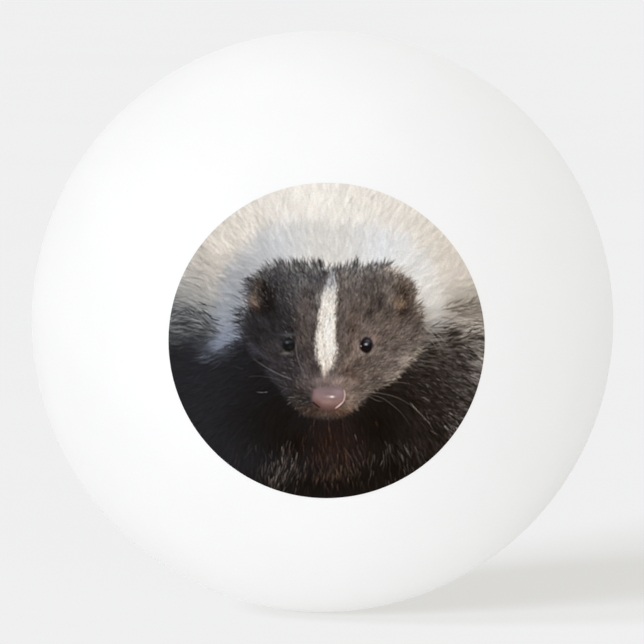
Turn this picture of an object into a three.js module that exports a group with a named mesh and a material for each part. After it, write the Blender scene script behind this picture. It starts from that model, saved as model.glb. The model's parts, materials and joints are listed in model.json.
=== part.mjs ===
// Table tennis ball: two moulded half-shells, the cement that joins them at the seam, and a
// round picture printed on the front.
//
// Units are millimetres, with +Z up. The origin is the ball's centre. Every piece is turned
// about the Y axis, which is the axis the half-shells are moulded on: the seam lies in the
// plane y = 0, the back half-shell is on +Y, and the picture is centred on -Y.

import * as THREE from 'three';

// Driving dimensions
const BALL_RADIUS = 20;
const WALL_THICKNESS = 0.5;
const RIM_THICKNESS = 0.9; // the wall is thicker along the seam, where the halves overlap
const LAP_LENGTH = 1.2; // how far the back half's spigot reaches into the front half
const CEMENT_THICKNESS = 0.08;
const PICTURE_RADIUS = 10.5;
const INK_THICKNESS = 0.02;
const CLEARANCE = 0.01; // between any two neighbouring pieces

// Facets
const SEGMENTS_AROUND = 48;
const STEPS_UNDER_PICTURE = 5;
const STEPS_BEYOND_PICTURE = 8;
const STEPS_INSIDE = 12;

// The shell's inner face
const INNER_RADIUS = BALL_RADIUS - WALL_THICKNESS;
const RIM_INNER_RADIUS = BALL_RADIUS - RIM_THICKNESS;
const RIM_HEIGHT = 2.0; // from the seam to where the thick rim starts to taper
const TAPER_END_HEIGHT = 3.0; // from the seam to where the taper meets the plain wall

// The stepped lap: a spigot on the back half inside a rebate in the front half
const GLUE_GAP = CEMENT_THICKNESS + 2 * CLEARANCE;
const SPIGOT_RADIUS = BALL_RADIUS - 0.5 * RIM_THICKNESS - 0.5 * GLUE_GAP;
const REBATE_RADIUS = SPIGOT_RADIUS + GLUE_GAP;
const REBATE_DEPTH = LAP_LENGTH + GLUE_GAP;

// Angle from the pole out to the picture's edge
const PICTURE_ANGLE = Math.asin(PICTURE_RADIUS / BALL_RADIUS);
const SEAM_ANGLE = Math.PI / 2;

// Points of an arc about the origin, from one angle off the pole to another. `side` is +1
// for the back half, whose pole is on +Y, and -1 for the front half.
function arc(radius, fromAngle, toAngle, steps, side) {
  const points = [];
  for (let i = 0; i <= steps; i += 1) {
    const angle = fromAngle + ((toAngle - fromAngle) * i) / steps;
    const atPole = angle < Number.EPSILON;
    const x = atPole ? 0 : radius * Math.sin(angle);
    points.push(new THREE.Vector2(x, side * radius * Math.cos(angle)));
  }
  return points;
}

// The outside of one half, from its pole to the glue gap at the seam. It has a ring of
// corners at the picture's edge, so that the picture's facets lie parallel to the shell's.
function outerFace(side) {
  const edgeHeight = 0.5 * GLUE_GAP;
  const edgeAngle = Math.acos(edgeHeight / BALL_RADIUS);
  const nearPole = arc(BALL_RADIUS, 0, PICTURE_ANGLE, STEPS_UNDER_PICTURE, side);
  const nearSeam = arc(BALL_RADIUS, PICTURE_ANGLE, edgeAngle, STEPS_BEYOND_PICTURE, side);
  return [...nearPole, ...nearSeam.slice(1)];
}

// The inside of one half, from its pole to the foot of the thick rim.
function innerFace(side) {
  const taperAngle = Math.acos(TAPER_END_HEIGHT / INNER_RADIUS);
  const wall = arc(INNER_RADIUS, 0, taperAngle, STEPS_INSIDE, side);
  return [...wall, new THREE.Vector2(RIM_INNER_RADIUS, side * RIM_HEIGHT)];
}

// Front half: its rim is cut back inside to a rebate.
function frontHalfShell() {
  const rebate = [
    new THREE.Vector2(REBATE_RADIUS, -0.5 * GLUE_GAP),
    new THREE.Vector2(REBATE_RADIUS, -REBATE_DEPTH),
    new THREE.Vector2(RIM_INNER_RADIUS, -REBATE_DEPTH),
  ];
  const profile = [...outerFace(-1), ...rebate, ...innerFace(-1).reverse()];
  return new THREE.LatheGeometry(profile, SEGMENTS_AROUND);
}

// Back half: its rim carries a spigot that reaches past the seam, into the rebate.
function backHalfShell() {
  const spigot = [
    new THREE.Vector2(RIM_INNER_RADIUS, -LAP_LENGTH),
    new THREE.Vector2(SPIGOT_RADIUS, -LAP_LENGTH),
    new THREE.Vector2(SPIGOT_RADIUS, 0.5 * GLUE_GAP),
  ];
  const profile = [...innerFace(1), ...spigot, ...outerFace(1).reverse()];
  return new THREE.LatheGeometry(profile, SEGMENTS_AROUND);
}

// Cement: a ring with a stepped section. It fills the lap from the rebate's floor, past the
// end of the spigot and along its outside, and comes out flush with the ball at the seam.
function seamCement() {
  const floor = -REBATE_DEPTH + CLEARANCE;
  const underSpigot = floor + CEMENT_THICKNESS;
  const outside = REBATE_RADIUS - CLEARANCE;
  const inside = SPIGOT_RADIUS + CLEARANCE;
  const halfSeam = 0.5 * CEMENT_THICKNESS;
  const profile = [
    new THREE.Vector2(RIM_INNER_RADIUS, floor),
    new THREE.Vector2(outside, floor),
    new THREE.Vector2(outside, -halfSeam),
    new THREE.Vector2(BALL_RADIUS, -halfSeam),
    new THREE.Vector2(BALL_RADIUS, halfSeam),
    new THREE.Vector2(inside, halfSeam),
    new THREE.Vector2(inside, underSpigot),
    new THREE.Vector2(RIM_INNER_RADIUS, underSpigot),
    new THREE.Vector2(RIM_INNER_RADIUS, floor),
  ];
  return new THREE.LatheGeometry(profile, SEGMENTS_AROUND);
}

// Picture: a round film of ink that follows the front of the ball.
function printedPicture() {
  const under = BALL_RADIUS + CLEARANCE;
  const top = under + INK_THICKNESS;
  const topFace = arc(top, 0, PICTURE_ANGLE, STEPS_UNDER_PICTURE, -1);
  const underFace = arc(under, 0, PICTURE_ANGLE, STEPS_UNDER_PICTURE, -1);
  return new THREE.LatheGeometry([...topFace, ...underFace.reverse()], SEGMENTS_AROUND);
}

function plastic() {
  return new THREE.MeshStandardMaterial({ color: 0xf7f7f5, roughness: 0.6, metalness: 0 });
}

function cement() {
  return new THREE.MeshStandardMaterial({ color: 0xf0efe9, roughness: 0.45, metalness: 0 });
}

function ink() {
  return new THREE.MeshStandardMaterial({ color: 0x4a433f, roughness: 0.5, metalness: 0 });
}

function piece(name, geometry, material) {
  const mesh = new THREE.Mesh(geometry, material);
  mesh.name = name;
  return mesh;
}

const ball = new THREE.Group();
ball.add(piece('front_half_shell', frontHalfShell(), plastic()));
ball.add(piece('back_half_shell', backHalfShell(), plastic()));
ball.add(piece('seam_cement', seamCement(), cement()));
ball.add(piece('printed_picture', printedPicture(), ink()));

export default ball;
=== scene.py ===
"""Looks for the table tennis ball: fine shells, the cement in the seam and the printed picture.

Lengths are in metres, in the CAD model's frame: the ball's centre is the origin, +Z is up,
the seam lies in the plane y = 0 and the picture is centred on -Y.
"""

import json
import math

import bpy
import numpy as np
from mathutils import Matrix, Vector


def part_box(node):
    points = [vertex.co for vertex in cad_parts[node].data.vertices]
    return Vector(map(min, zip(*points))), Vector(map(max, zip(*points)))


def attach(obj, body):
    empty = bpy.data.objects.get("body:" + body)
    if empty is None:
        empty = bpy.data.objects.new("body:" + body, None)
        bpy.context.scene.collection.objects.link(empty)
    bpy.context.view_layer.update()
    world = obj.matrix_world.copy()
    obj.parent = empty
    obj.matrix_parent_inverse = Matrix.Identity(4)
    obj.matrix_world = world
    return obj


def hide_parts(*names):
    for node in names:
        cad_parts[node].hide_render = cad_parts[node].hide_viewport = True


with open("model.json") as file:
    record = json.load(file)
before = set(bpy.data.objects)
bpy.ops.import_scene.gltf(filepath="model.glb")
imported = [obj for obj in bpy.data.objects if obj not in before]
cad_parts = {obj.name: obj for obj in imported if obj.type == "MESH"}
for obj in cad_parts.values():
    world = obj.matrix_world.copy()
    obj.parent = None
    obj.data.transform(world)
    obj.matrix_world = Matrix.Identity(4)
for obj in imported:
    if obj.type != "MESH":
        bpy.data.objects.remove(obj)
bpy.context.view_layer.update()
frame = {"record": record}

MM = 0.001

# --- Driving dimensions, from the frame --------------------------------------------------
BALL_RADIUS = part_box("back_half_shell")[1].y
PICTURE_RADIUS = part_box("printed_picture")[1].x
FLOOR_HEIGHT = frame["record"]["mounts"][0]["pos_m"][2]

# Wall and seam, as in the CAD model
WALL_THICKNESS = 0.5 * MM
RIM_THICKNESS = 0.9 * MM
RIM_HEIGHT = 2.0 * MM
TAPER_END_HEIGHT = 3.0 * MM
CEMENT_THICKNESS = 0.08 * MM
CLEARANCE = 0.01 * MM
LAP_LENGTH = 1.2 * MM
GLUE_GAP = CEMENT_THICKNESS + 2 * CLEARANCE
INNER_RADIUS = BALL_RADIUS - WALL_THICKNESS
RIM_INNER_RADIUS = BALL_RADIUS - RIM_THICKNESS
SPIGOT_RADIUS = BALL_RADIUS - 0.5 * RIM_THICKNESS - 0.5 * GLUE_GAP
REBATE_RADIUS = SPIGOT_RADIUS + GLUE_GAP
REBATE_DEPTH = LAP_LENGTH + GLUE_GAP

# Finish details that the CAD model leaves out
SEAM_ROUNDING = 0.10 * MM  # the polished-down edges of the shells at the seam
CORNER_ROUNDING = 0.05 * MM  # the moulded corners inside the lap
CEMENT_SINK = 0.03 * MM  # how far the cement sits below the ball's face

# The printed film
INK_THICKNESS = 0.02 * MM
INK_UNDER_RADIUS = BALL_RADIUS + CLEARANCE
INK_TOP_RADIUS = INK_UNDER_RADIUS + INK_THICKNESS

# The photo's viewing angle: from a little to the left of the picture's axis and above it
SEEN_FROM_LEFT = math.radians(0.95)
SEEN_FROM_ABOVE = math.radians(4.35)


# --- The picture -----------------------------------------------------------------------
# An animal's head, painted with shapes and combed strokes of fur.
# Its units are the picture's radius: u runs right, v runs up, and the rim is at radius 1.
CANVAS = 720  # cells across the canvas
REACH = 1.04  # the canvas's half width: a little past the rim, so that the rim has paint
CELL = 2 * REACH / CANVAS
CELL_MIDDLES = (np.arange(CANVAS) + 0.5) * CELL - REACH
U, V = np.meshgrid(CELL_MIDDLES, CELL_MIDDLES)
FAR = np.hypot(U, V)
SEED = 11
BLUR_PASSES = 3  # box blurs that together come close to a round soft one
BAND_CORE, BAND_END = 0.6, 1.3  # where a band starts to fade and where it is gone, in its half widths


def paint(code):
    """A colour as three numbers from 0 to 1, from its usual six digits."""
    return np.array([int(code[i : i + 2], 16) for i in (0, 2, 4)]) / 255.0


def smooth(x, low, high):
    """0 below `low`, 1 above `high`, and a smooth step between."""
    t = np.clip((x - low) / (high - low), 0, 1)
    return t * t * (3 - 2 * t)


def mix(a, b, share):
    """`a` where `share` is 0 and `b` where it is 1."""
    return a + (b - a) * share[..., None]


def box_blur(field, half):
    """The mean over a square of cells, found from running sums."""
    for axis in (0, 1):
        field = np.moveaxis(field, axis, 0)
        padded = np.concatenate([field[:1].repeat(half + 1, 0), field, field[-1:].repeat(half, 0)])
        total = np.cumsum(padded, 0)
        field = (total[2 * half + 1 :] - total[: -2 * half - 1]) / (2 * half + 1)
        field = np.moveaxis(field, 0, axis)
    return field


def blur(field, size):
    """A soft blur of about `size`."""
    half = max(1, round(size / CELL / 2))
    for _ in range(BLUR_PASSES):
        field = box_blur(field, half)
    return field


def noise(rng, size):
    """A smooth random field with a mean of 0, a spread of 1 and lumps of about `size`."""
    field = blur(rng.standard_normal((CANVAS, CANVAS)), size)
    return (field - field.mean()) / field.std()


def curve(points, steps=10, closed=False):
    """A smooth curve through the points (Catmull-Rom)."""
    p = np.array(points, float)
    if closed:
        p = np.concatenate([p[-1:], p, p[:2]])
    else:
        p = np.concatenate([2 * p[:1] - p[1:2], p, 2 * p[-1:] - p[-2:-1]])
    t = (np.arange(steps) / steps)[:, None]
    spans = []
    for a, b, c, d in zip(p, p[1:], p[2:], p[3:]):
        cubic = 3 * b - a - 3 * c + d
        square = 2 * a - 5 * b + 4 * c - d
        spans.append(0.5 * (2 * b + (c - a) * t + square * t**2 + cubic * t**3))
    if not closed:
        spans.append(p[-2:-1])
    return np.concatenate(spans)


def in_cells(points):
    """Points counted in cells, from the middle of the bottom left one."""
    return (points + REACH) / CELL - 0.5


def inside(points, soft):
    """1 inside a smooth closed outline and 0 outside, with an edge about `soft` wide."""
    outline = in_cells(curve(points, closed=True))
    flips = np.zeros((CANVAS, CANVAS + 1), int)
    for (x0, y0), (x1, y1) in zip(outline, np.roll(outline, -1, 0)):
        low, high = sorted((y0, y1))
        rows = np.arange(max(0, math.ceil(low)), min(CANVAS, math.ceil(high)))
        if len(rows):
            crossing = x0 + (rows - y0) * (x1 - x0) / (y1 - y0)
            np.add.at(flips, (rows, np.clip(np.ceil(crossing), 0, CANVAS).astype(int)), 1)
    mask = (np.cumsum(flips, 1) % 2)[:, :CANVAS].astype(float)
    return blur(mask, soft)


def spot(u, v, across, up, turn=0.0):
    """A soft oval spot, 1 in the middle and fading out round its half sizes."""
    c, s = math.cos(turn), math.sin(turn)
    x = ((U - u) * c + (V - v) * s) / across
    y = ((V - v) * c - (U - u) * s) / up
    return np.exp(-(x * x + y * y))


def near_curve(points):
    """How far each cell is from a smooth curve, and how far along it, from 0 to 1, it is nearest."""
    line = curve(points, steps=6)
    places = np.linspace(0, 1, len(line))
    nearest = np.full(U.shape, np.inf)
    place = np.zeros(U.shape)
    for a, b, place_a, place_b in zip(line, line[1:], places, places[1:]):
        d = b - a
        k = np.clip(((U - a[0]) * d[0] + (V - a[1]) * d[1]) / (d @ d), 0, 1)
        far = np.hypot(U - a[0] - k * d[0], V - a[1] - k * d[1])
        closer = far < nearest
        nearest = np.where(closer, far, nearest)
        place = np.where(closer, place_a + (place_b - place_a) * k, place)
    return nearest, place


def band(points, half_width):
    """1 along a smooth curve, fading out at about `half_width` from it."""
    nearest, _ = near_curve(points)
    return 1 - smooth(nearest / half_width, BAND_CORE, BAND_END)


def gradient(value, stops, tones):
    """The tones that the values fall on, where each stop has its tone."""
    table = np.array([paint(code) for code in tones])
    return np.stack([np.interp(value, stops, table[:, i]) for i in range(3)], -1)


def four_cells(points):
    """The four cells round each point: their columns, rows and shares of it."""
    place = in_cells(points)
    low = np.floor(place).astype(int)
    over = place - low
    for dx in (0, 1):
        for dy in (0, 1):
            part_x = over[..., 0] if dx else 1 - over[..., 0]
            part_y = over[..., 1] if dy else 1 - over[..., 1]
            yield low[..., 0] + dx, low[..., 1] + dy, part_x * part_y


def turned(way, angle):
    """Directions turned by an angle, in radians."""
    c, s = np.cos(angle), np.sin(angle)
    x, y = way[..., 0], way[..., 1]
    return np.stack([x * c - y * s, x * s + y * c], -1)


SHORTEST, LONGEST = 0.5, 1.3  # hairs' lengths, as shares of the length that is asked for
FAINTEST_FUR, FAINTEST_HAIR = 0.5, 0.4  # lowest strengths, as shares of the one that is asked for
ROOT, TIP = 0.15, 0.5  # the shares of a hair over which it thickens and thins out
TAPER_POWER = 0.8
LANE_GAP = 0.9 * CELL  # between the lanes of a wide stroke
BATCHES, SMALLEST_BATCH = 50, 40  # how many times strokes are laid, and the fewest at a time
LEAST_PAINT = 1e-6
TINY = 1e-12  # keeps a stroke's direction from being divided by 0


class Coat:
    """The canvas, and the way the fur is combed at every place on it."""

    def __init__(self):
        self.rng = np.random.default_rng(SEED)
        self.image = np.ones((CANVAS, CANVAS, 3))
        self.comb = np.stack([np.zeros_like(U), np.ones_like(U)], -1)

    def wash(self, tone, share):
        """Mixes a tone into the canvas."""
        self.image = mix(self.image, paint(tone), share)

    def soften(self, size, share):
        """Mixes a blur of about `size` into the canvas."""
        self.image = mix(self.image, blur(self.image, size), share)

    def spots(self, *spots):
        """Soft oval patches, each one: u, v, half sizes across and up, tone, share and any turn."""
        for u, v, across, up, tone, share, *turn in spots:
            self.wash(tone, share * spot(u, v, across, up, *turn))

    def patch(self, share, tone, washes, spots):
        """Lays a patch where `share` is 1: its ground tone, then washes and spots over that."""
        under = self.image
        self.image = np.ones_like(under) * paint(tone)
        for wash in washes:
            self.wash(*wash)
        self.spots(*spots)
        self.image = mix(under, self.image, share)

    def look_up(self, field, points):
        """The field's values at the cells that hold the points."""
        cells = np.clip(np.floor((points + REACH) / CELL).astype(int), 0, CANVAS - 1)
        return field[cells[..., 1], cells[..., 0]]

    def scatter(self, where, count):
        """Random places, as dense as `where` says."""
        share = np.cumsum(where.ravel())
        pick = np.searchsorted(share, self.rng.random(count) * share[-1])
        rows, columns = np.divmod(pick, CANVAS)
        return (np.stack([columns, rows], -1) + self.rng.random((count, 2))) * CELL - REACH

    def trace(self, places, lengths, swing, curl, back):
        """Paths through the places that follow the comb, one row of points each. `back` is the
        share of each path that comes before its place."""
        count = len(places)
        steps = math.ceil(lengths.max() / CELL) + 1
        stride = (lengths / steps)[:, None]
        turn = np.radians(swing) * self.rng.standard_normal(count)
        bend = np.radians(curl) * self.rng.standard_normal(count) / steps
        at = places - turned(self.look_up(self.comb, places), turn) * lengths[:, None] * back
        path = []
        for k in range(steps):
            path.append(at)
            at = at + turned(self.look_up(self.comb, at), turn + bend * k) * stride
        return np.stack(path, 1)

    def lay(self, paths, tones, strength, lanes):
        """Lays tapering strokes on the canvas, a few at a time, each over the ones before."""
        count, steps = paths.shape[:2]
        k = np.linspace(0, 1, steps)
        taper = np.clip(np.minimum(k / ROOT, (1 - k) / TIP), 0, 1) ** TAPER_POWER
        way = np.gradient(paths, axis=1)
        way /= np.linalg.norm(way, axis=2, keepdims=True) + TINY
        side = np.stack([-way[..., 1], way[..., 0]], -1)
        offsets = (np.arange(lanes) - (lanes - 1) / 2) * LANE_GAP
        batch = max(SMALLEST_BATCH, count // BATCHES)
        for first in range(0, count, batch):
            some = slice(first, first + batch)
            spread = side[some, None] * (taper[None, :] * offsets[:, None])[None, :, :, None]
            self.splat(paths[some, None] + spread, tones[some], strength[some], taper)

    def splat(self, points, tones, strength, taper):
        """Drops paint at the points, each shared between the four cells round it."""
        ink = np.broadcast_to(strength[:, None, None] * taper, points.shape[:-1])
        owner = np.broadcast_to(np.arange(len(points))[:, None, None], ink.shape)
        cells, shares, owners = [], [], []
        for x, y, part in four_cells(points):
            good = (x >= 0) & (x < CANVAS) & (y >= 0) & (y < CANVAS)
            cells.append((y * CANVAS + x)[good])
            shares.append((ink * part)[good])
            owners.append(owner[good])
        cells, shares = np.concatenate(cells), np.concatenate(shares)
        colours = tones[np.concatenate(owners)]
        size = CANVAS * CANVAS
        weight = np.bincount(cells, shares, size)
        hit = np.flatnonzero(weight > LEAST_PAINT)
        cover = np.minimum(1, weight[hit])
        flat = self.image.reshape(-1, 3)
        for i in range(3):
            total = np.bincount(cells, shares * colours[:, i], size)[hit]
            flat[hit, i] += (total / weight[hit] - flat[hit, i]) * cover

    def fur(self, where, count, length, spread, strength, lanes, swing=8, curl=20):
        """Fur in the canvas's own tone where it grows, made lighter or darker by `spread`."""
        places = self.scatter(where, count)
        lengths = length * self.rng.uniform(SHORTEST, LONGEST, count)
        change = spread * self.rng.standard_normal(count)[:, None]
        tones = np.clip(self.look_up(self.image, places) * (1 + change), 0, 1)
        paths = self.trace(places, lengths, swing, curl, back=0.5)
        self.lay(paths, tones, strength * self.rng.uniform(FAINTEST_FUR, 1, count), lanes)

    def hair(self, where, count, length, tone, spread, strength, lanes, swing, curl=20, back=0.0):
        """Separate hairs of one tone."""
        places = self.scatter(where, count)
        lengths = length * self.rng.uniform(SHORTEST, LONGEST, count)
        tones = np.clip(paint(tone) * (1 + spread * self.rng.standard_normal(count)[:, None]), 0, 1)
        paths = self.trace(places, lengths, swing, curl, back)
        self.lay(paths, tones, strength * self.rng.uniform(FAINTEST_HAIR, 1, count), lanes)

    def hairs(self, rows, **comb):
        """Several growths of hair, each row what `hair` takes, in its order."""
        for row in rows:
            self.hair(*row, **comb)

    def line(self, points, tone, strength, lanes):
        """One whisker or thin line through the points."""
        self.lay(curve(points, steps=40)[None], paint(tone)[None], np.array([strength]), lanes)


# Outlines, each a list of points for a smooth closed curve
HEAD = (
    (-0.31, 0.46), (-0.18, 0.465), (-0.02, 0.445), (0.16, 0.455), (0.34, 0.46), (0.41, 0.42),
    (0.49, 0.4), (0.548, 0.35), (0.552, 0.26), (0.56, 0.19), (0.6, 0.12), (0.62, 0.03),
    (0.58, -0.07), (0.5, -0.16), (0.42, -0.25), (0.29, -0.32), (0.2, -0.41), (0.1, -0.475),
    (-0.02, -0.49), (-0.14, -0.46), (-0.23, -0.39), (-0.32, -0.27), (-0.45, -0.12), (-0.52, 0.0),
    (-0.525, 0.11), (-0.49, 0.23), (-0.49, 0.32), (-0.465, 0.385), (-0.4, 0.435),
)
BODY = (
    (-1.1, 0.1), (-0.94, 0.08), (-0.86, 0.06), (-0.81, -0.02), (-0.72, -0.11), (-0.58, -0.06),
    (-0.3, 0.2), (0.3, 0.2), (0.6, 0.08), (0.7, 0.05), (0.8, 0.07), (0.88, 0.05), (1.1, -0.04),
    (1.1, -1.1), (-1.1, -1.1),
)
BLAZE = (
    (0.035, 0.455), (0.07, 0.4), (0.068, 0.3), (0.06, 0.15), (0.057, 0.02), (0.068, -0.06),
    (0.05, -0.13), (0.018, -0.185), (-0.015, -0.208), (-0.04, -0.17), (-0.066, -0.1),
    (-0.08, -0.01), (-0.064, 0.07), (-0.058, 0.16), (-0.042, 0.26), (-0.014, 0.35), (0.006, 0.43),
)


def paint_back_fur(coat):
    """The coat behind the head: cream at the top, greyer and darker down both sides."""
    angle = np.degrees(np.arctan2(V, U)) % 360
    angle = np.where(angle > 270, angle - 360, angle)
    # each stop round the head: degrees from the right, going up and over, and the tone there
    stops = (
        (-10, "6f6864"), (-3, "8a817a"), (3, "978d84"), (8, "958c83"), (14, "a0978c"), (20, "bdb4a8"),
        (28, "dacfc4"), (40, "ddd4c7"), (60, "e9e2d9"), (90, "f1ebe2"), (112, "e2dcd4"),
        (130, "ddd5ca"), (139, "d2cac0"), (147, "bcb5ac"), (155, "b6b1ab"), (160, "a3a29e"),
        (166, "8c8c8b"), (172, "686a6c"), (177, "3e4043"), (184, "303235"),
    )
    coat.image = gradient(angle, *zip(*stops))


def paint_nape(coat):
    """The white band round the back of the head, bluish in the shade on the left."""
    # each stop along the band: its place, tone and half width
    stops = (
        ((-0.8, -0.13), "3a3d44", 0.04),
        ((-0.72, -0.03), "686f7d", 0.07),
        ((-0.655, 0.1), "8f95a1", 0.09),
        ((-0.62, 0.25), "94999f", 0.1),
        ((-0.56, 0.4), "9fa1a5", 0.12),
        ((-0.44, 0.53), "b6b7b9", 0.13),
        ((-0.28, 0.62), "cccdcf", 0.14),
        ((-0.08, 0.635), "d4d1cc", 0.14),
        ((0.12, 0.62), "d6d3cf", 0.14),
        ((0.34, 0.6), "e4e5e7", 0.14),
        ((0.52, 0.52), "e2e1df", 0.13),
        ((0.63, 0.38), "e3e0da", 0.11),
        ((0.68, 0.24), "d6d1ca", 0.1),
        ((0.74, 0.1), "a8a39d", 0.08),
    )
    points, tones, half_widths = zip(*stops)
    places = np.linspace(0, 1, len(stops))
    nearest, place = near_curve(points)
    half_width = np.interp(place, places, half_widths)
    share = 1 - smooth(nearest / half_width, BAND_CORE, BAND_END)
    coat.image = mix(coat.image, gradient(place, places, tones), 0.95 * share)


def paint_body(coat):
    """The black coat below: bluish on the left, brown-black on the right."""
    washes = (
        ("2a2523", smooth(U, -0.1, 0.35)),
        ("25262a", smooth(-U - 0.25 * V, 0.45, 0.85)),
        ("332e2b", smooth(U + 0.7 * V, 0.2, 0.8)),
    )
    spots = (
        (-0.32, -0.5, 0.28, 0.22, "181818", 0.9),
        (0.33, -0.55, 0.2, 0.25, "141312", 0.85),
        (0.45, -0.82, 0.25, 0.1, "151312", 0.8),
        (0.03, -0.66, 0.16, 0.16, "2a1e1b", 0.75),
        (0.05, -0.93, 0.6, 0.11, "141312", 0.8),
        (-0.2, -0.66, 0.14, 0.08, "161413", 0.8),
        (0.96, -0.16, 0.1, 0.24, "68605c", 0.8),
        (0.85, -0.2, 0.08, 0.12, "4c4643", 0.8),
        (0.72, 0.01, 0.13, 0.07, "857d76", 0.85),
        (0.64, -0.13, 0.11, 0.06, "57504b", 0.8),
    )
    coat.patch(inside(BODY, 0.05), "1f2023", washes, spots)


def paint_head(coat):
    """The head's own tones, lit from the right."""
    lit_side = ("5c524d", smooth(U + 0.12 * V, -0.22, 0.18))
    spots = (
        (-0.17, 0.42, 0.17, 0.13, "4b4b4d", 0.9),  # left of the forehead
        (0.2, 0.42, 0.17, 0.1, "6c6662", 0.8),  # right of the forehead
        (0.27, 0.43, 0.06, 0.03, "817a74", 0.6),
        (-0.04, 0.43, 0.05, 0.06, "333339", 0.9),  # dark tuft above the stripe
        (-0.13, 0.18, 0.07, 0.14, "5d5450", 0.9),  # warm patch beside the stripe
        (-0.15, 0.02, 0.06, 0.1, "4b433f", 0.9),
        (-0.12, -0.13, 0.06, 0.07, "574e4b", 0.9),
        (-0.42, 0.12, 0.14, 0.18, "28282a", 0.8),  # left cheek, in the shade
        (-0.36, 0.28, 0.08, 0.1, "2c2a2b", 0.8),
        (-0.36, -0.04, 0.07, 0.05, "403c3e", 0.8),
        (-0.24, -0.15, 0.12, 0.08, "3b363a", 0.7),
        (-0.48, -0.06, 0.05, 0.04, "46444f", 0.8),  # bluish glint beside it
        (0.33, 0.04, 0.07, 0.06, "7d6c65", 0.8),  # pinkish patch behind the right eye
        (0.315, 0.015, 0.022, 0.022, "a88475", 0.8),
        (0.43, -0.02, 0.1, 0.12, "5c514b", 0.8),
        (0.5, -0.11, 0.08, 0.05, "7d726a", 0.9, 0.9),  # the jaw's pale edge
        (0.43, -0.2, 0.07, 0.04, "7b7067", 0.9, 0.8),
        (0.17, -0.08, 0.07, 0.1, "7b6a60", 0.9),
        (0.36, -0.14, 0.07, 0.05, "5c504b", 0.7),
        (0.25, -0.21, 0.16, 0.08, "5f534b", 0.8),
        (0.17, 0.09, 0.035, 0.09, "493a33", 0.6),  # brown line down to the right eye
        (0.28, 0.2, 0.08, 0.1, "4f4540", 0.6),
        (0.33, 0.36, 0.08, 0.05, "4d4541", 0.6),
        (0.45, 0.12, 0.05, 0.04, "74675f", 0.7),
        (0.16, -0.205, 0.08, 0.025, "4d3a30", 0.8, -0.6),  # brown fold beside the nose
        (0.01, -0.25, 0.12, 0.05, "9b8781", 0.9),  # bridge of the nose
        (0.12, -0.28, 0.055, 0.05, "917d72", 0.8),
        (-0.12, -0.28, 0.04, 0.04, "695c58", 0.8),
        (0.36, 0.12, 0.07, 0.06, "7a6d64", 0.7),
        (0.12, 0.04, 0.04, 0.07, "6d605a", 0.8),
        (0.15, -0.37, 0.06, 0.08, "8f7a6c", 0.9),  # right of the muzzle
        (-0.19, -0.34, 0.05, 0.1, "383230", 0.9),  # left of the muzzle
        (0.08, -0.45, 0.12, 0.035, "64493a", 0.9),  # chin
        (-0.1, -0.45, 0.1, 0.04, "48372d", 0.9),
        # left ear: brown cup, dark shade behind it, tan lobe
        (-0.445, 0.355, 0.045, 0.07, "3d362f", 0.95, 0.2),
        (-0.385, 0.29, 0.028, 0.1, "1d1c1d", 0.95, 0.2),
        (-0.485, 0.3, 0.018, 0.07, "544943", 0.8),
        (-0.45, 0.275, 0.022, 0.018, "6b5645", 0.7),
        (-0.46, 0.24, 0.02, 0.02, "8d735f", 0.85),
        (-0.445, 0.205, 0.02, 0.02, "4d3c33", 0.7),
        # right ear: brown rim, dark cup, golden fur in front, dark fold below
        (0.5, 0.26, 0.08, 0.13, "4c4039", 0.6),
        (0.395, 0.3, 0.014, 0.07, "857b73", 0.7, 0.1),
        (0.455, 0.39, 0.035, 0.03, "7b6f62", 0.8, -0.3),
        (0.49, 0.345, 0.055, 0.03, "42372e", 0.95, -0.2),
        (0.51, 0.3, 0.04, 0.03, "31271f", 0.95),
        (0.545, 0.26, 0.018, 0.07, "54463b", 0.8),
        (0.455, 0.26, 0.028, 0.026, "8a6f57", 0.9, -0.4),
        (0.475, 0.228, 0.026, 0.014, "a18466", 0.8, 0.3),
        (0.48, 0.18, 0.04, 0.022, "261d19", 0.95, 0.1),
    )
    coat.patch(inside(HEAD, 0.02), "313033", (lit_side,), spots)


def comb_fur(coat):
    """Sets which way the fur lies: out from the nose on the head, out from the neck elsewhere,
    and more and more straight down on the chest."""
    nose_height, neck_height = -0.4, -0.02
    across = 1 - 0.6 * smooth(-V, 0.45, 0.7)
    face = np.stack([U, V - nose_height], -1)
    rest = np.stack([U * across, V - neck_height], -1)
    face /= np.linalg.norm(face, axis=2, keepdims=True)
    rest /= np.linalg.norm(rest, axis=2, keepdims=True)
    swirl = 0.16 * noise(coat.rng, 0.12) + 0.1 * noise(coat.rng, 0.04)
    way = turned(mix(rest, face, inside(HEAD, 0.06)), swirl)
    coat.comb = way / np.linalg.norm(way, axis=2, keepdims=True)


def paint_blaze(coat):
    """The white stripe down the face, grey-blue where it starts. Returns where it is."""
    share = inside(BLAZE, 0.008)
    low_end = ("e6d5c3", smooth(-V, 0.05, 0.16))
    top_end = ("8f949d", smooth(V, 0.22, 0.44))
    spots = (
        (-0.066, -0.02, 0.016, 0.09, "c3bcb4", 0.8),
        (0.02, 0.08, 0.03, 0.2, "f1ece4", 0.8),
    )
    coat.patch(share, "e7ddd1", (low_end, top_end), spots)
    coat.spots((-0.052, 0.27, 0.016, 0.06, "8d8a86", 0.7))
    return share


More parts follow.
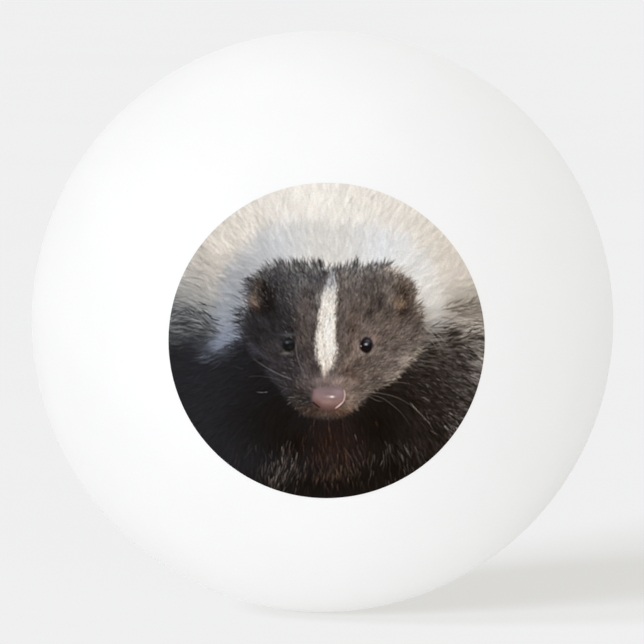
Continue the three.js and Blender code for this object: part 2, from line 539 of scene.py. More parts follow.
def paint_eyes(coat):
    """Black eyes with a soft glow of the sky and a bright point, and pale lids."""
    coat.spots(
        (-0.258, -0.078, 0.028, 0.012, "746d6a", 0.85),
        (-0.235, 0.04, 0.04, 0.012, "5a5c60", 0.7),
        (-0.19, -0.02, 0.012, 0.04, "4f4744", 0.7),
        (0.197, -0.045, 0.01, 0.035, "9a857c", 0.8),
        (0.28, -0.08, 0.028, 0.012, "8c7a71", 0.8, 0.6),
        (0.235, 0.05, 0.04, 0.014, "5b504a", 0.8),
        (0.303, 0.0, 0.012, 0.03, "8f7b72", 0.7),
    )
    left = (
        (-0.274, -0.002), (-0.248, 0.019), (-0.216, 0.012), (-0.199, -0.019),
        (-0.207, -0.052), (-0.236, -0.068), (-0.266, -0.055), (-0.278, -0.028),
    )
    right = (
        (0.25, 0.024), (0.277, 0.011), (0.288, -0.022), (0.279, -0.06), (0.252, -0.078),
        (0.222, -0.064), (0.208, -0.04), (0.214, -0.01), (0.23, 0.014),
    )
    coat.wash("1a1b1c", inside(left, 0.008))
    coat.wash("1b181a", inside(right, 0.008))
    coat.spots(
        (-0.24, -0.004, 0.028, 0.01, "353d42", 0.9),
        (-0.25, -0.01, 0.01, 0.007, "5d676d", 0.8),
        (-0.228, -0.04, 0.012, 0.01, "2c3032", 0.6),
        (0.258, -0.002, 0.02, 0.016, "4c4d56", 0.9),
        (0.247, -0.022, 0.011, 0.006, "b9c2ca", 1.0),
        (0.2145, -0.033, 0.005, 0.005, "c2b3aa", 0.9),
    )


def paint_nose(coat):
    """The bare nose: mauve above, browner below, with a wet highlight and a pale rim."""
    outline = (
        (-0.085, -0.305), (-0.04, -0.29), (0.02, -0.285), (0.075, -0.29), (0.106, -0.31),
        (0.112, -0.345), (0.1, -0.388), (0.068, -0.422), (0.03, -0.437), (-0.015, -0.437),
        (-0.055, -0.42), (-0.086, -0.388), (-0.1, -0.352), (-0.1, -0.325),
    )
    middle = ("8c6f69", smooth(-V, 0.33, 0.385))
    low = ("6a4f48", smooth(-V, 0.385, 0.43))
    spots = (
        (0.02, -0.295, 0.07, 0.014, "786868", 0.8),
        (-0.1, -0.34, 0.025, 0.05, "6b5654", 0.8),
        (0.07, -0.325, 0.035, 0.02, "9a8486", 0.7),
        (-0.05, -0.345, 0.035, 0.02, "917879", 0.7),
        (0.005, -0.382, 0.035, 0.014, "9b7f78", 0.6),
        (-0.095, -0.325, 0.01, 0.03, "4f3f3e", 0.7),
        (-0.06, -0.4, 0.04, 0.02, "5f4543", 0.85, -0.6),
        (0.022, -0.352, 0.034, 0.009, "b39c9c", 0.8),
        (0.034, -0.353, 0.012, 0.006, "f6e9e4", 1.0),
    )
    coat.patch(inside(outline, 0.01), "857072", (middle, low), spots)
    left_nostril = ((-0.088, -0.385), (-0.073, -0.4), (-0.055, -0.413), (-0.04, -0.422))
    right_rim = ((0.107, -0.305), (0.114, -0.34), (0.104, -0.382), (0.076, -0.408), (0.05, -0.428))
    low_rim = ((0.1, -0.388), (0.078, -0.409), (0.052, -0.428))
    coat.line(left_nostril, "3a1f1d", 0.7, 3)
    coat.line(right_rim, "c9a79d", 0.7, 2)
    coat.line(low_rim, "dcc0b6", 0.7, 2)


def paint_whiskers(coat):
    """Whiskers and stray long hairs."""
    for tone, strength, *points in (
        ("a19a9c", 0.8, (-0.205, -0.25), (-0.3, -0.21), (-0.4, -0.155), (-0.47, -0.105)),
        ("7a7273", 0.8, (-0.195, 0.0), (-0.185, -0.1), (-0.15, -0.19), (-0.1, -0.25)),
        ("6f6767", 0.6, (-0.18, -0.11), (-0.15, -0.205), (-0.11, -0.25)),
        ("554f4d", 0.7, (-0.25, -0.26), (-0.35, -0.232), (-0.45, -0.222), (-0.5, -0.232)),
        ("554d4f", 0.6, (-0.2, -0.315), (-0.29, -0.285), (-0.37, -0.24)),
        ("6d6d6d", 0.6, (-0.37, -0.322), (-0.41, -0.326), (-0.45, -0.322)),
        ("8a827a", 0.8, (-0.195, -0.357), (-0.25, -0.356)),
        ("3d3f45", 0.7, (-0.66, -0.13), (-0.7, -0.165), (-0.76, -0.2)),
        ("3d3f42", 0.7, (-0.52, -0.182), (-0.6, -0.152)),
        ("9c8f83", 0.7, (0.225, -0.325), (0.33, -0.33), (0.45, -0.362), (0.55, -0.425), (0.63, -0.51)),
        ("7f736b", 0.7, (0.24, -0.335), (0.34, -0.358), (0.42, -0.412), (0.49, -0.48), (0.54, -0.57)),
        ("766b63", 0.6, (0.42, -0.262), (0.5, -0.268), (0.59, -0.3)),
        ("a0968e", 0.8, (0.52, -0.385), (0.57, -0.44), (0.64, -0.515), (0.69, -0.6)),
        ("6f645c", 0.5, (0.26, -0.345), (0.31, -0.375), (0.36, -0.385)),
        ("c5bcb5", 0.8, (0.6, 0.1), (0.68, 0.025), (0.76, -0.1)),
        ("b5aca5", 0.7, (0.62, 0.105), (0.71, 0.03), (0.77, -0.045)),
        ("a89f98", 0.6, (0.58, 0.08), (0.66, 0.0), (0.7, -0.06)),
        ("3a3c3e", 0.9, (-0.49, 0.225), (-0.54, 0.19), (-0.575, 0.15)),
    ):
        coat.line(points, tone, strength, 1)


def grow_back_fur(coat, pale):
    """Long soft fur behind the head, with dark strands where it meets the black coat."""
    outer = smooth(FAR, 0.62, 0.8)
    coat.fur(pale, 2500, 0.15, 0.035, 0.4, 5)
    coat.fur(pale, 9000, 0.1, 0.06, 0.42, 2)
    coat.fur(pale * outer, 4000, 0.12, 0.07, 0.45, 2, curl=35)
    coat.fur(pale * outer * smooth(-U, 0.35, 0.7), 2000, 0.12, 0.12, 0.45, 2, curl=35)
    coat.soften(0.006, pale)
    left = smooth(-U, 0.66, 0.85)
    right = smooth(U, 0.72, 0.86)
    right_rim = smooth(U, 0.86, 0.92)
    # where the strands grow: side, height and reach up and down; then count, tone and strength
    for side, height, reach, count, tone, strength in (
        (left, 0.08, 0.08, 320, "36393c", 0.5),
        (left, 0.17, 0.07, 90, "5f6263", 0.4),
        (left, 0.33, 0.1, 60, "8f8b85", 0.35),
        (left, 0.08, 0.07, 90, "8f8f8e", 0.35),
        (right, 0.03, 0.06, 260, "3a3430", 0.5),
        (right, 0.09, 0.08, 120, "b9afa3", 0.5),
        (right_rim, 0.03, 0.06, 60, "c0b6aa", 0.55),
        (right, 0.19, 0.06, 110, "7a7066", 0.45),
    ):
        here = side * np.exp(-(((V - height) / reach) ** 2))
        coat.hair(here, count, 0.12, tone, 0.15, strength, 2, 8, back=0.5)


# The rows of hair below are each: where it grows, count, length, tone, spread of tone,
# strength, lanes and swing.


def grow_body_fur(coat, dark):
    """The black coat's fur, with bright hairs where the light catches it."""
    lit = smooth(U + 0.3 * V, 0.1, 0.6)
    coat.fur(dark, 7000, 0.12, 0.12, 0.5, 2)
    coat.fur(dark * lit, 5000, 0.08, 0.22, 0.5, 2)
    coat.soften(0.006, 0.7 * dark)
    coat.hairs((
        (dark * smooth(U + 0.5 * V, 0.25, 0.8), 1000, 0.07, "7c736e", 0.25, 0.26, 2, 14),
        (dark * smooth(U, 0.72, 0.92), 340, 0.06, "a39b97", 0.2, 0.32, 2, 14),
        (dark * lit, 1400, 0.08, "1b1816", 0.1, 0.5, 2, 8),
    ))
    grow_chest_hairs(coat)
    coat.hairs((
        (spot(0.82, -0.53, 0.07, 0.07), 50, 0.07, "aba39e", 0.2, 0.4, 1, 8),  # pale lock, low right
        (spot(0.95, -0.12, 0.05, 0.12), 100, 0.08, "aaa39d", 0.2, 0.4, 2, 8),  # pale fur, far right
    ))
    coat.soften(0.012, 0.4 * dark * smooth(U, 0.6, 0.75) * smooth(V, -0.5, -0.4))
    grow_nape_locks(coat)


def grow_chest_hairs(coat):
    """Thin golden and brown hairs low on the chest, where the sun comes through them."""
    low = smooth(-V, 0.55, 0.7) * smooth(V, -0.97, -0.88)
    coat.hairs((
        (low * spot(-0.27, -0.8, 0.1, 0.11), 130, 0.08, "85766a", 0.3, 0.42, 1, 9),
        (low * spot(0.05, -0.82, 0.16, 0.07), 120, 0.07, "63503f", 0.3, 0.42, 1, 9),
    ), curl=10)
    coat.hair(low * spot(0.42, -0.7, 0.22, 0.09), 70, 0.09, "8f8680", 0.25, 0.38, 1, 7, curl=8)
    coat.hairs((
        (low * (np.abs(U) < 0.6), 180, 0.09, "453c36", 0.3, 0.4, 1, 9),
        (spot(0.0, -0.7, 0.15, 0.16), 170, 0.08, "4a3228", 0.3, 0.5, 1, 9),
    ), curl=10)


def grow_nape_locks(coat):
    """Bluish white locks of the nape that run out over the black, with dark gaps between."""
    locks = band(((-0.58, 0.04), (-0.64, 0.0), (-0.7, -0.05)), 0.05)
    gaps = band(((-0.57, -0.03), (-0.68, -0.11), (-0.78, -0.1)), 0.04)
    streaks = band(((-0.64, -0.04), (-0.72, -0.09), (-0.79, -0.12)), 0.03)
    ends = band(((-0.66, -0.09), (-0.76, -0.07), (-0.84, 0.0)), 0.05)
    coat.hairs((
        (locks, 170, 0.1, "878e9d", 0.15, 0.4, 2, 8),
        (gaps, 110, 0.09, "2a2c31", 0.1, 0.5, 3, 8),
        (streaks, 45, 0.1, "737987", 0.2, 0.3, 2, 8),
        (ends, 130, 0.09, "3a3d43", 0.2, 0.35, 2, 8),
    ), back=0.5)
    coat.soften(0.01, 0.7 * spot(-0.72, -0.06, 0.12, 0.09))


def grow_head_fur(coat, head, stripe):
    """The head's short dense fur, then the tufts and fringes round its edge."""
    bare = head * (1 - stripe)
    lumps = 0.07 * noise(coat.rng, 0.06) + 0.1 * noise(coat.rng, 0.02)
    coat.image = coat.image * (1 + lumps * bare)[..., None]
    coat.fur(head, 3000, 0.09, 0.09, 0.45, 3, swing=18)
    coat.fur(head, 9000, 0.055, 0.13, 0.4, 2, swing=20)
    coat.fur(head, 16000, 0.035, 0.16, 0.4, 1, swing=24)
    coat.soften(0.012, 0.7 * spot(0.02, -0.3, 0.2, 0.14))  # the smooth muzzle
    brow = head * smooth(V, 0.15, 0.3) * smooth(U, -0.6, -0.2)
    right = head * smooth(U, 0.05, 0.3) * smooth(-V, -0.3, 0.1)
    beside = head * smooth(-U, 0.08, 0.12) * smooth(U, -0.3, -0.2)
    coat.hairs((
        (brow, 900, 0.048, "8f8b88", 0.2, 0.27, 1, 18),
        (right, 1100, 0.048, "a0958b", 0.2, 0.25, 1, 18),
        (beside, 300, 0.045, "8f857d", 0.2, 0.32, 1, 18),
        (bare, 1800, 0.042, "1e1c1c", 0.2, 0.3, 1, 18),
    ))
    grow_crown(coat)
    grow_head_edge(coat)
    coat.hairs((
        (stripe, 500, 0.04, "f2eadf", 0.03, 0.4, 1, 12),
        (stripe, 110, 0.04, "b3a99e", 0.1, 0.25, 1, 12),
    ))
    grow_ears_and_stripe_edge(coat)


def grow_crown(coat):
    """Upright hairs along the top of the head, with a few taller tips."""
    crown = band(
        (
            (-0.48, 0.36), (-0.4, 0.41), (-0.31, 0.445), (-0.15, 0.45), (0.0, 0.43),
            (0.16, 0.44), (0.35, 0.445),
        ),
        0.03,
    )
    coat.hair(crown, 480, 0.06, "474546", 0.25, 0.4, 2, 14)
    for tip in (-0.3, -0.26, -0.19, -0.13, -0.07, -0.03, 0.18, 0.37):
        coat.hair(spot(tip, 0.46, 0.016, 0.015), 16, 0.08, "4a484a", 0.2, 0.4, 2, 6)
    coat.hair(crown, 200, 0.06, "9d9a97", 0.15, 0.3, 1, 14)


def grow_head_edge(coat):
    """The fringes down both sides of the head, the tufts by the ears and the jaw's pale edge."""
    right_edge = ((0.37, 0.44), (0.46, 0.395), (0.53, 0.33), (0.535, 0.25), (0.58, 0.16))
    left_edge = ((-0.47, 0.38), (-0.49, 0.3), (-0.49, 0.22), (-0.53, 0.12), (-0.53, 0.0))
    jaw = ((0.6, -0.05), (0.53, -0.12), (0.46, -0.2), (0.38, -0.27))
    lip = ((0.34, -0.29), (0.25, -0.33), (0.19, -0.42))
    coat.hairs((
        (band(right_edge, 0.025), 200, 0.05, "5a4d44", 0.25, 0.55, 1, 18),
        (spot(0.555, 0.19, 0.02, 0.06), 40, 0.09, "5b4f47", 0.2, 0.45, 1, 14),
        (spot(0.42, 0.44, 0.05, 0.02), 60, 0.06, "b3a79a", 0.12, 0.45, 1, 20),
        (band(left_edge, 0.025), 180, 0.06, "34343a", 0.2, 0.5, 1, 18),
        (spot(-0.52, 0.16, 0.02, 0.07), 50, 0.1, "2f3033", 0.2, 0.5, 1, 14),
    ))
    coat.hairs((
        (band(jaw, 0.02), 150, 0.05, "a89b8b", 0.15, 0.45, 1, 18),
        (band(lip, 0.02), 90, 0.035, "86776a", 0.15, 0.4, 1, 18),
    ), back=0.4)


def grow_ears_and_stripe_edge(coat):
    """Tan tufts in the ears, and dark hairs over the start and the sides of the stripe."""
    left_side = ((0.006, 0.43), (-0.042, 0.26), (-0.064, 0.07), (-0.08, -0.01), (-0.04, -0.17))
    right_side = ((0.07, 0.4), (0.06, 0.15), (0.068, -0.06), (0.018, -0.185))
    coat.hairs((
        (spot(0.46, 0.25, 0.03, 0.03), 40, 0.045, "a38a72", 0.15, 0.32, 1, 20),
        (spot(0.5, 0.35, 0.05, 0.03), 40, 0.035, "7a6a5c", 0.15, 0.3, 1, 25),
        (spot(-0.47, 0.26, 0.025, 0.03), 30, 0.04, "8a7867", 0.12, 0.3, 1, 20),
        (spot(0.0, 0.41, 0.05, 0.05), 60, 0.06, "3c3d43", 0.15, 0.4, 1, 10),
        (band(left_side, 0.012), 150, 0.035, "5b534f", 0.2, 0.5, 1, 20),
        (band(right_side, 0.012), 150, 0.035, "5f544d", 0.2, 0.5, 1, 20),
    ), back=0.5)


def paint_picture():
    """The whole picture, as sRGB values for each cell, from the bottom row up."""
    coat = Coat()
    paint_back_fur(coat)
    paint_nape(coat)
    paint_body(coat)
    comb_fur(coat)
    head = inside(HEAD, 0.006)
    dark = inside(BODY, 0.06) * (1 - head)
    grow_back_fur(coat, (1 - head) * (1 - dark))
    grow_body_fur(coat, dark)
    paint_head(coat)
    stripe = paint_blaze(coat)
    grow_head_fur(coat, head, stripe)
    paint_eyes(coat)
    paint_nose(coat)
    paint_whiskers(coat)
    return np.clip(coat.image, 0, 1)


# --- Meshes ----------------------------------------------------------------------------
SEGMENTS_AROUND = 192
STEPS_OUTSIDE = 96
STEPS_INSIDE = 48
STEPS_ROUNDING = 4
SHARP_ANGLE = math.radians(50)
ON_AXIS = 1e-9  # a profile point nearer the Y axis than this lies on it
PICTURE_RINGS = 170
PICTURE_SIDES = 6  # ring k of the picture's top sheet has this many points times k
UNDER_RINGS = 16
UNDER_STEP = 10  # rim points to each point of the under sheet's rings


def new_object(name, data):
    """An object in the scene that shows the data."""
    made = bpy.data.objects.new(name, data)
    bpy.context.collection.objects.link(made)
    return made


def new_piece(name, shape, material, node):
    """A mesh piece that stands for a CAD node and rides on the ball's one body."""
    vertices, faces = shape
    mesh = bpy.data.meshes.new(name)
    mesh.from_pydata(vertices, [], faces)
    mesh.validate()
    mesh.shade_smooth()
    mesh.set_sharp_from_angle(angle=SHARP_ANGLE)
    mesh.materials.append(material)
    piece = new_object(name, mesh)
    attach(piece, "root")
    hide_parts(node)
    return piece


def arc(radius, start, end, steps, side):
    """Profile points (distance from the Y axis, y) of an arc about the centre. The angles
    run from the pole, which is on +Y where `side` is 1 and on -Y where it is -1."""
    angles = np.linspace(start, end, steps + 1)
    return [(radius * math.sin(a), side * radius * math.cos(a)) for a in angles]


def rounded(profile, corners):
    """The profile with each listed corner, {index: radius}, turned into a small arc."""
    out = []
    for i, corner in enumerate(profile):
        if i not in corners:
            out.append(corner)
            continue
        here = Vector(corner)
        back = (Vector(profile[i - 1]) - here).normalized()
        on = (Vector(profile[(i + 1) % len(profile)]) - here).normalized()
        start, end = here + back * corners[i], here + on * corners[i]
        for k in range(STEPS_ROUNDING + 1):
            t = k / STEPS_ROUNDING
            bend = start * (1 - t) ** 2 + here * 2 * t * (1 - t) + end * t**2
            out.append(tuple(bend))
    return out


def full_turn(count):
    """Angles spaced evenly round a full turn."""
    return [2 * math.pi * k / count for k in range(count)]


def add_ring(vertices, points):
    """Adds the points to the vertices, and says which numbers they have."""
    first = len(vertices)
    vertices.extend(points)
    return list(range(first, len(vertices)))


def lathe(profile):
    """Vertices and faces of a profile turned about the Y axis. Profile points on the axis
    become one vertex, and a profile with none closes on itself."""
    closed = all(r > ON_AXIS for r, _ in profile)
    vertices, rings = [], []
    for r, y in profile:
        if r < ON_AXIS:
            rings.append(add_ring(vertices, [(0.0, y, 0.0)]) * SEGMENTS_AROUND)
        else:
            around = [(r * math.sin(a), y, r * math.cos(a)) for a in full_turn(SEGMENTS_AROUND)]
            rings.append(add_ring(vertices, around))
    pairs = list(zip(rings, rings[1:]))
    if closed:
        pairs.append((rings[-1], rings[0]))
    faces = []
    for low, high in pairs:
        for k in range(SEGMENTS_AROUND):
            n = (k + 1) % SEGMENTS_AROUND
            faces.append(list(dict.fromkeys((low[k], low[n], high[n], high[k]))))
    return vertices, faces


def outer_face(side):
    """The ball's outside on one half, from the pole to the seam."""
    edge = math.acos(0.5 * GLUE_GAP / BALL_RADIUS)
    return arc(BALL_RADIUS, 0, edge, STEPS_OUTSIDE, side)


def inner_face(side):
    """The ball's inside on one half, from the pole to the foot of the thick rim."""
    taper = math.acos(TAPER_END_HEIGHT / INNER_RADIUS)
    return arc(INNER_RADIUS, 0, taper, STEPS_INSIDE, side) + [(RIM_INNER_RADIUS, side * RIM_HEIGHT)]


def front_half_profile():
    """The front half: outside, rebate for the spigot, and back along the inside."""
    outside = outer_face(-1)
    rebate = [
        (REBATE_RADIUS, -0.5 * GLUE_GAP),
        (REBATE_RADIUS, -REBATE_DEPTH),
        (RIM_INNER_RADIUS, -REBATE_DEPTH),
    ]
    seam_edge = len(outside) - 1
    corners = {seam_edge: SEAM_ROUNDING, seam_edge + 1: CORNER_ROUNDING, seam_edge + 3: CORNER_ROUNDING}
    return rounded(outside + rebate + inner_face(-1)[::-1], corners)


def back_half_profile():
    """The back half: inside, spigot that reaches into the front half, and back along the outside."""
    inside_half = inner_face(1)
    spigot = [
        (RIM_INNER_RADIUS, -LAP_LENGTH),
        (SPIGOT_RADIUS, -LAP_LENGTH),
        (SPIGOT_RADIUS, 0.5 * GLUE_GAP),
    ]
    spigot_end = len(inside_half)
    seam_edge = spigot_end + 3
    corners = {spigot_end: CORNER_ROUNDING, spigot_end + 1: CORNER_ROUNDING, seam_edge: SEAM_ROUNDING}
    return rounded(inside_half + spigot + outer_face(1)[::-1], corners)


def cement_profile():
    """The cement: across the end of the spigot, up along it and out to the seam."""
    floor = -REBATE_DEPTH + CLEARANCE
    under_spigot = floor + CEMENT_THICKNESS
    outside = REBATE_RADIUS - CLEARANCE
    inside_face = SPIGOT_RADIUS + CLEARANCE
    half_seam = 0.5 * CEMENT_THICKNESS
    face = BALL_RADIUS - CEMENT_SINK
    hollow = 0.25 * CEMENT_SINK
    return [
        (RIM_INNER_RADIUS, floor),
        (outside, floor),
        (outside, -half_seam),
        (face, -half_seam),
        (face - hollow, 0.0),
        (face, half_seam),
        (inside_face, half_seam),
        (inside_face, under_spigot),
        (RIM_INNER_RADIUS, under_spigot),
    ]


def film_ring(reach, count, radius):
    """A ring of points at `reach` from the Y axis, on the front of a sphere of `radius`."""
    y = -math.sqrt(radius**2 - reach**2)
    return [(reach * math.cos(a), y, reach * math.sin(a)) for a in full_turn(count)]


def top_sheet():
    """Vertices and faces of the picture's fine top sheet, and the vertex where its rim starts."""
    vertices = [(0.0, -INK_TOP_RADIUS, 0.0)]
    faces = []
    inner, inner_count = 0, 1
    for k in range(1, PICTURE_RINGS + 1):
        outer, outer_count = len(vertices), PICTURE_SIDES * k
        vertices += film_ring(PICTURE_RADIUS * k / PICTURE_RINGS, outer_count, INK_TOP_RADIUS)
        for side in range(PICTURE_SIDES):
            for j in range(k):
                a = outer + side * k + j
                b = outer + (side * k + j + 1) % outer_count
                c = inner + (side * (k - 1) + j) % inner_count
                faces.append((a, b, c))
                if j < k - 1:
                    d = inner + (side * (k - 1) + j + 1) % inner_count
                    faces.append((b, d, c))
        inner, inner_count = outer, outer_count
    return vertices, faces, inner


def picture_mesh():
    """The closed film: a fine top sheet, a rim, and an under sheet of coarser rings."""
    vertices, faces, top_rim = top_sheet()
    rim = PICTURE_SIDES * PICTURE_RINGS
    outer = add_ring(vertices, film_ring(PICTURE_RADIUS, rim, INK_UNDER_RADIUS))
    for j in range(rim):
        n = (j + 1) % rim
        faces.append((top_rim + n, top_rim + j, outer[j], outer[n]))
    count = rim // UNDER_STEP
    for k in range(UNDER_RINGS, 0, -1):
        reach = PICTURE_RADIUS * k / (UNDER_RINGS + 1)
        ring = add_ring(vertices, film_ring(reach, count, INK_UNDER_RADIUS))
        step = len(outer) // count
        for j in range(count):
            along = [outer[(j * step + i) % len(outer)] for i in range(step, -1, -1)]
            faces.append((*along, ring[j], ring[(j + 1) % count]))
        outer = ring
    centre = len(vertices)
    vertices.append((0.0, -INK_UNDER_RADIUS, 0.0))
    for j in range(count):
        faces.append((outer[(j + 1) % count], outer[j], centre))
    return vertices, faces


# What turns the painted picture into the ink's own colour
SMOOTHING, SHARPENING = 1, 3  # half widths of the blurs, in cells
CRISPNESS = 0.9  # how much the detail between the two blurs is strengthened
INK_DEPTH = (0.89, 0.885, 0.865)  # the light on the print is brighter than 1, and this takes it back
INK_SHEEN = (0.002, 0.0035, 0.0045)  # what the ink's faint sheen adds to its colour


def linear_light(colour):
    """Linear values of sRGB ones, by the sRGB standard's formula."""
    return np.where(colour <= 0.04045, colour / 12.92, ((colour + 0.055) / 1.055) ** 2.4)


def colour_picture(piece, image):
    """Gives each vertex the picture's colour there. The middle of the picture stands out from its
    edge, so from above and from the left it is seen lower and further right."""
    mesh = piece.data
    at = np.empty(3 * len(mesh.vertices))
    mesh.vertices.foreach_get("co", at)
    x, y, z = at.reshape(-1, 3).T
    standing_out = -y - math.sqrt(INK_TOP_RADIUS**2 - PICTURE_RADIUS**2)
    seen_right = x + standing_out * math.tan(SEEN_FROM_LEFT)
    seen_up = z - standing_out * math.tan(SEEN_FROM_ABOVE)
    seen = np.stack([seen_right, seen_up], -1) / PICTURE_RADIUS
    soft = box_blur(image, SMOOTHING)
    crisp = np.clip(soft + CRISPNESS * (soft - box_blur(soft, SHARPENING)), 0, 1)
    colour = sum(crisp[rows, columns] * part[:, None] for columns, rows, part in four_cells(seen))
    ink = np.maximum(linear_light(colour) * INK_DEPTH - INK_SHEEN, 0)
    attribute = mesh.color_attributes.new("ink", "FLOAT_COLOR", "POINT")
    attribute.data.foreach_set("color", np.concatenate([ink, np.ones((len(ink), 1))], 1).ravel())


# --- Materials -------------------------------------------------------------------------
NOISE_LOW, NOISE_HIGH = 0.3, 0.7  # most of a noise node's values lie between these
MIX_SHARE, MIX_A, MIX_B, MIX_RESULT = 0, 6, 7, 2  # the Mix node's sockets when it mixes colours
SHADER_INPUTS = {
    "base_color": "Base Color",
    "roughness": "Roughness",
    "specular": "Specular IOR Level",
    "glow": "Emission Color",
    "glow_strength": "Emission Strength",
    "normal": "Normal",
}


class Look:
    """A node material with one Principled shader, and short helpers for its nodes."""

    def __init__(self, name):
        self.material = bpy.data.materials.new(name)
        self.material.use_nodes = True
        self.tree = self.material.node_tree
        self.shader = self.tree.nodes["Principled BSDF"]
        self.place = self.tree.nodes.new("ShaderNodeTexCoord").outputs["Object"]

    def node(self, kind, inputs, **settings):
        """A new node with plain values for some of its inputs, and its settings."""
        made = self.tree.nodes.new(kind)
        for key, value in inputs.items():
            made.inputs[key].default_value = value
        for key, value in settings.items():
            setattr(made, key, value)
        return made

    def link(self, source, target):
        self.tree.links.new(source, target)

    def shade(self, **inputs):
        """Gives the shader its inputs, such as base_color, each a link or a plain value."""
        for key, value in inputs.items():
            socket = self.shader.inputs[SHADER_INPUTS[key]]
            if isinstance(value, bpy.types.NodeSocket):
                self.link(value, socket)
            else:
                socket.default_value = value

    def noise(self, size, detail):
        """Noise round 0.5 with lumps of about `size` metres."""
        made = self.node("ShaderNodeTexNoise", {"Scale": 1 / size, "Detail": detail})
        self.link(self.place, made.inputs["Vector"])
        return made.outputs["Fac"]

    def ramp(self, noise, low, high):
        """Noise spread from `low` to `high`."""
        spread = {"From Min": NOISE_LOW, "From Max": NOISE_HIGH, "To Min": low, "To Max": high}
        made = self.node("ShaderNodeMapRange", spread)
        self.link(noise, made.inputs["Value"])
        return made.outputs["Result"]

    def blend(self, share, a, b, mode="MIX"):
        """Two colours mixed; the share and each colour is a link or a plain value."""
        made = self.node("ShaderNodeMix", {}, data_type="RGBA", blend_type=mode)
        for value, index in ((share, MIX_SHARE), (a, MIX_A), (b, MIX_B)):
            if isinstance(value, bpy.types.NodeSocket):
                self.link(value, made.inputs[index])
            elif index == MIX_SHARE:
                made.inputs[index].default_value = value
            else:
                made.inputs[index].default_value = (*value, 1.0)
        return made.outputs[MIX_RESULT]

    def bump(self, *layers):
        """Bump layers, each a height from 0 to 1 and how many metres it stands for."""
        normal = None
        for height, depth in layers:
            made = self.node("ShaderNodeBump", {"Distance": depth, "Strength": 1.0})
            self.link(height, made.inputs["Height"])
            if normal:
                self.link(normal, made.inputs["Normal"])
            normal = made.outputs["Normal"]
        self.shade(normal=normal)


def plastic_look():
    """White matte plastic: a ground and polished face with fine grain and faint haze."""
    look = Look("white_plastic")
    haze = look.noise(9 * MM, detail=3)
    grain = look.noise(0.12 * MM, detail=2)
    ripple = look.noise(1.6 * MM, detail=2)
    polish = look.noise(2.5 * MM, detail=4)
    dim_white, bright_white = (0.832, 0.828, 0.806), (0.858, 0.853, 0.830)
    colour = look.blend(look.ramp(haze, 0, 1), dim_white, bright_white)
    look.shade(base_color=colour, roughness=look.ramp(polish, 0.42, 0.56))
    look.bump((grain, 0.004 * MM), (ripple, 0.006 * MM))
    return look.material


def cement_look():
    """Solvent cement: plastic melted smooth, a little darker and glossier."""
    look = Look("seam_cement")
    cloud = look.noise(1.2 * MM, detail=3)
    dark_cream, light_cream = (0.66, 0.65, 0.61), (0.74, 0.73, 0.69)
    colour = look.blend(look.ramp(cloud, 0, 1), dark_cream, light_cream)
    look.shade(base_color=colour, roughness=look.ramp(cloud, 0.28, 0.40))
    look.bump((cloud, 0.004 * MM))
    return look.material


def ink_look():
    """Printed ink: the picture's colours with a fine print grain, and almost no gloss."""
    look = Look("picture_ink")
    picture = look.node("ShaderNodeVertexColor", {}, layer_name="ink").outputs["Color"]
    grain = look.noise(0.10 * MM, detail=1)
    wear = look.noise(1.5 * MM, detail=3)
    shaded = look.blend(1.0, picture, look.ramp(grain, 0.94, 1.06), "MULTIPLY")
    look.shade(base_color=shaded, roughness=look.ramp(wear, 0.46, 0.60), specular=0.02)
    look.bump((grain, 0.002 * MM))
    return look.material


def floor_look():
    """A pale light table: it glows, and its matte face is faintly uneven."""
    look = Look("pale_floor")
    cloud = look.noise(40 * MM, detail=3)
    low, high = [[FLOOR_DIFFUSE * share] * 3 for share in (0.98, 1.02)]
    colour = look.blend(look.ramp(cloud, 0, 1), low, high)
    look.shade(base_color=colour, roughness=1.0, specular=0.0, glow=(*FLOOR_GLOW, 1), glow_strength=1.0)
    return look.material


# --- Stage: floor, light and camera ----------------------------------------------------
SKY = 0.871  # brightness all round, the same as the floor's, so that its far edge doesn't show

# The floor is a light table: it glows, and its thin matte face takes the ball's shadow
FLOOR_DIFFUSE = 0.03
FLOOR_GLOW = (0.675, 0.670, 0.648)
FLOOR_RADIUS = 20.0
FLOOR_SIDES = 96

# Soft lights, each one: name, strength, where its light goes (degrees round from +X towards
# +Y, and degrees down) and how wide it is in degrees. The first three light only the ball,
# and the last two only the floor.
BALL_LIGHTS = (
    ("side_light", 0.63, 45, 0, 100),
    ("top_light", 0.48, 45, 72, 100),
    ("low_light", 0.38, 90, -45, 100),
)
SHADOW_LIGHTS = (
    ("near_shadow_light", 14.7, 27.5, 25.8, 15),
    ("far_shadow_light", 90.0, 46.7, 7, 17),
)
BALL_LIGHT_TINT = (0.95, 0.98, 1.10)
SHADOW_LIGHT_TINT = (0.995, 1.03, 1.17)


def build_floor():
    """A round pale floor, the same in every direction."""
    angles = full_turn(FLOOR_SIDES)
    rim = [(FLOOR_RADIUS * math.cos(a), FLOOR_RADIUS * math.sin(a), FLOOR_HEIGHT) for a in angles]
    mesh = bpy.data.meshes.new("floor")
    mesh.from_pydata(rim, [], [range(FLOOR_SIDES)])
    mesh.materials.append(floor_look())
    floor = new_object("floor", mesh)
    return floor


def aim(obj, towards):
    """Turns a light or the camera to look along `towards`, upright."""
    obj.rotation_mode = "QUATERNION"
    obj.rotation_quaternion = towards.to_track_quat("-Z", "Y")


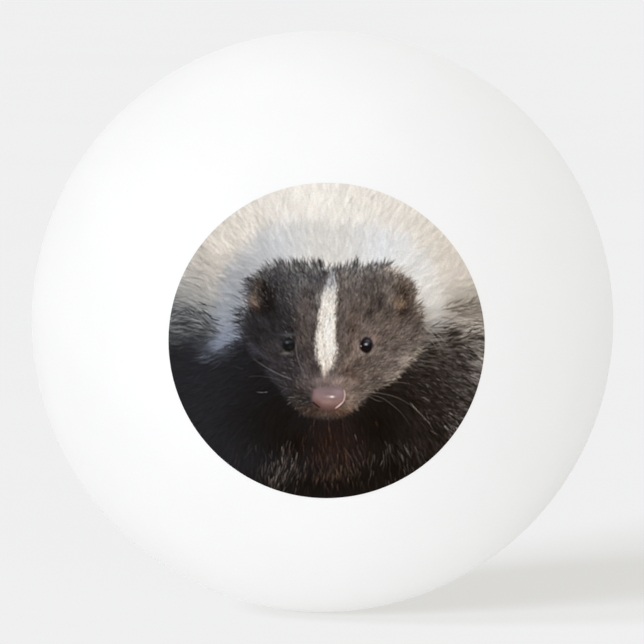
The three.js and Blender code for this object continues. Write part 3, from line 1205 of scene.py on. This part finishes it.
def sun(name, strength, azimuth, dip, width, tint, lit, blocking):
    """A soft far-off light that reaches only `lit` and is shaded only by `blocking`."""
    a, d = math.radians(azimuth), math.radians(dip)
    towards = Vector((math.cos(a) * math.cos(d), math.sin(a) * math.cos(d), -math.sin(d)))
    data = bpy.data.lights.new(name, "SUN")
    data.energy = strength
    data.color = tint
    data.angle = math.radians(width)
    data.cycles.use_multiple_importance_sampling = False  # it loses light where blocking is limited
    light = new_object(name, data)
    aim(light, towards)
    for role, reached in (("receiver_collection", lit), ("blocker_collection", blocking)):
        group = bpy.data.collections.new(name + "_" + role)
        for obj in reached:
            group.objects.link(obj)
        setattr(light.light_linking, role, group)


def build_light(ball, floor):
    """Even light all round, the lights that shape the ball and those that cast its shadow."""
    world = bpy.data.worlds.new("soft_studio")
    world.use_nodes = True
    world.node_tree.nodes["Background"].inputs["Color"].default_value = (SKY, SKY, SKY, 1)
    bpy.context.scene.world = world
    for light in BALL_LIGHTS:
        sun(*light, BALL_LIGHT_TINT, ball, ball)
    for light in SHADOW_LIGHTS:
        sun(*light, SHADOW_LIGHT_TINT, [floor], ball)


CAMERA_DISTANCE = 0.5
CAMERA_HALF_VIEW = math.radians(2.538)
CAMERA_TARGET = Vector((-0.030, 0.0, -0.046)) * MM
SENSOR_WIDTH = 36.0


def build_camera():
    """The camera looks slightly down at the ball, from a little to the left of the picture."""
    level = math.cos(SEEN_FROM_ABOVE)
    left, front = math.sin(-SEEN_FROM_LEFT) * level, -math.cos(SEEN_FROM_LEFT) * level
    back = Vector((left, front, math.sin(SEEN_FROM_ABOVE)))
    data = bpy.data.cameras.new("camera")
    data.sensor_width = SENSOR_WIDTH
    data.lens = 0.5 * SENSOR_WIDTH / math.tan(CAMERA_HALF_VIEW)
    data.clip_start = 0.1 * CAMERA_DISTANCE
    data.clip_end = 2 * FLOOR_RADIUS
    camera = new_object("camera", data)
    camera.location = CAMERA_TARGET + back * CAMERA_DISTANCE
    aim(camera, -back)
    bpy.context.scene.camera = camera
    bpy.context.scene.view_settings.view_transform = "Standard"


# --- The ball on its stage -------------------------------------------------------------
def build():
    """Makes the four pieces, the floor, the lights and the camera."""
    white = plastic_look()
    front_shape = lathe(front_half_profile())
    back_shape = lathe(back_half_profile())
    front = new_piece("fine_front_half_shell", front_shape, white, "front_half_shell")
    back = new_piece("fine_back_half_shell", back_shape, white, "back_half_shell")
    cement = new_piece(
        "fine_seam_cement", lathe(cement_profile()), cement_look(), "seam_cement"
    )
    picture = new_piece("fine_picture", picture_mesh(), ink_look(), "printed_picture")
    colour_picture(picture, paint_picture())
    floor = build_floor()
    build_light([front, back, cement, picture], floor)
    build_camera()


build()
